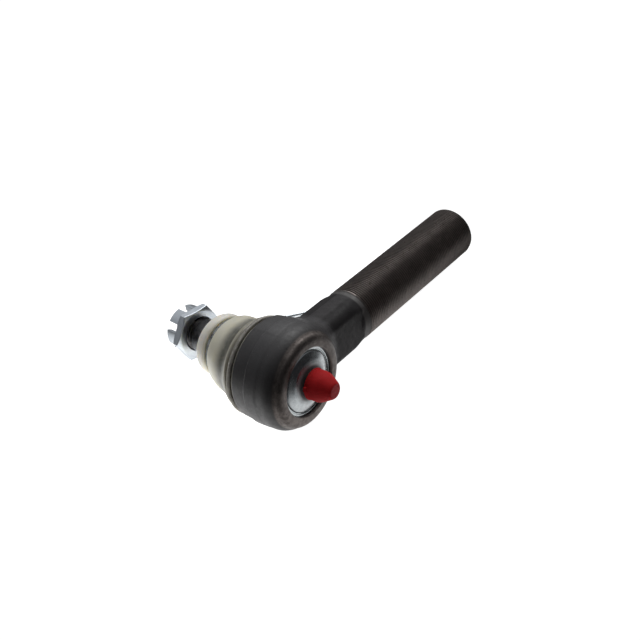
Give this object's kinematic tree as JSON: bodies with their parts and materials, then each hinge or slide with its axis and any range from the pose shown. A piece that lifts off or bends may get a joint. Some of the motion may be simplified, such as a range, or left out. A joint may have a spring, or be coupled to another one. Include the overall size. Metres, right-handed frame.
{
  "type": "tie rod end",
  "caption": "Steering tie rod end: a ball stud in a forged eye with a threaded shank, a rubber-like dust boot, a castle nut and a capped grease nipple.",
  "frame": {"origin": "centre of the ball, on the shank's axis and on the axis of the cover", "axes": "+X along the shank to its threaded end, +Y out of the side of the eye that the stud leaves, leaning 7 degrees towards +X, +Z square to both"},
  "size_m": [0.194, 0.1089, 0.055],
  "materials": {
    "forged_black": "black phosphated forging, satin, with bare worn steel on the rolled lip",
    "zinc_plate": "bright zinc plate with cloudy reflections",
    "zinc_nut": "bluish bright zinc plate",
    "zinc_wire": "zinc-plated wire",
    "seal_rubber": "black rubber",
    "seat_plastic": "natural acetal",
    "spring_steel": "oiled spring wire",
    "stud_steel": "dark ground steel, oiled",
    "boot_polyurethane": "translucent cream polyurethane",
    "nipple_steel": "yellow zinc plate",
    "ball_steel": "polished bearing ball",
    "cap_red": "soft deep red plastic"
  },
  "bodies": {
    "housing": {"housing": "forged_black", "cover_plate": "zinc_plate", "cover_seal_ring": "seal_rubber", "upper_bearing_seat": "seat_plastic", "preload_spring": "spring_steel", "boot_base_spring": "spring_steel", "grease_nipple_body": "nipple_steel", "nipple_spring": "spring_steel"},
    "pressure_cup": {"lower_bearing_seat": "seat_plastic"},
    "check_ball": {"nipple_check_ball": "ball_steel"},
    "cap": {"protective_cap": "cap_red"},
    "boot": {"dust_boot": "boot_polyurethane"},
    "boot_collar": {"boot_collar_spring": "spring_steel"},
    "stud": {"ball_stud": "stud_steel"},
    "nut": {"castle_nut": "zinc_nut"},
    "split_pin": {"cotter_pin": "zinc_wire"}
  },
  "joints": [
    {"name": "stud_swivel", "type": "hinge", "parent": "housing", "child": "boot", "pos_m": [0, 0, 0], "axis": [0, 1, 0], "continuous": true},
    {"name": "stud_tilt", "type": "hinge", "parent": "boot", "child": "boot_collar", "pos_m": [0, 0, 0], "axis": [0, 0, 1], "range_deg": [-13, 27], "deforming": ["dust_boot"]},
    {"name": "stud_spin", "type": "hinge", "parent": "boot_collar", "child": "stud", "pos_m": [0, 0, 0], "axis": [0.1219, 0.9925, 0], "continuous": true},
    {"name": "nut_turn", "type": "hinge", "parent": "stud", "child": "nut", "pos_m": [0.00773, 0.06293, 0], "axis": [0.1219, 0.9925, 0], "continuous": true},
    {"name": "cap_pull", "type": "slide", "parent": "housing", "child": "cap", "axis": [0, -1, 0], "range_m": [0, 0.025]},
    {"name": "seat_take_up", "type": "slide", "parent": "housing", "child": "pressure_cup", "axis": [0, -1, 0], "range_m": [0, 0.0004], "stiffness_N_per_m": 20000, "springref_m": -0.0005, "deforming": ["preload_spring"]},
    {"name": "check_ball_open", "type": "slide", "parent": "housing", "child": "check_ball", "axis": [0, 1, 0], "range_m": [0, 0.0008], "stiffness_N_per_m": 150, "springref_m": -0.001, "deforming": ["nipple_spring"]},
    {"name": "split_pin_slide", "type": "slide", "parent": "housing", "child": "split_pin", "axis": [0, 1, 0], "range_m": [0, 0.06]}
  ]
}
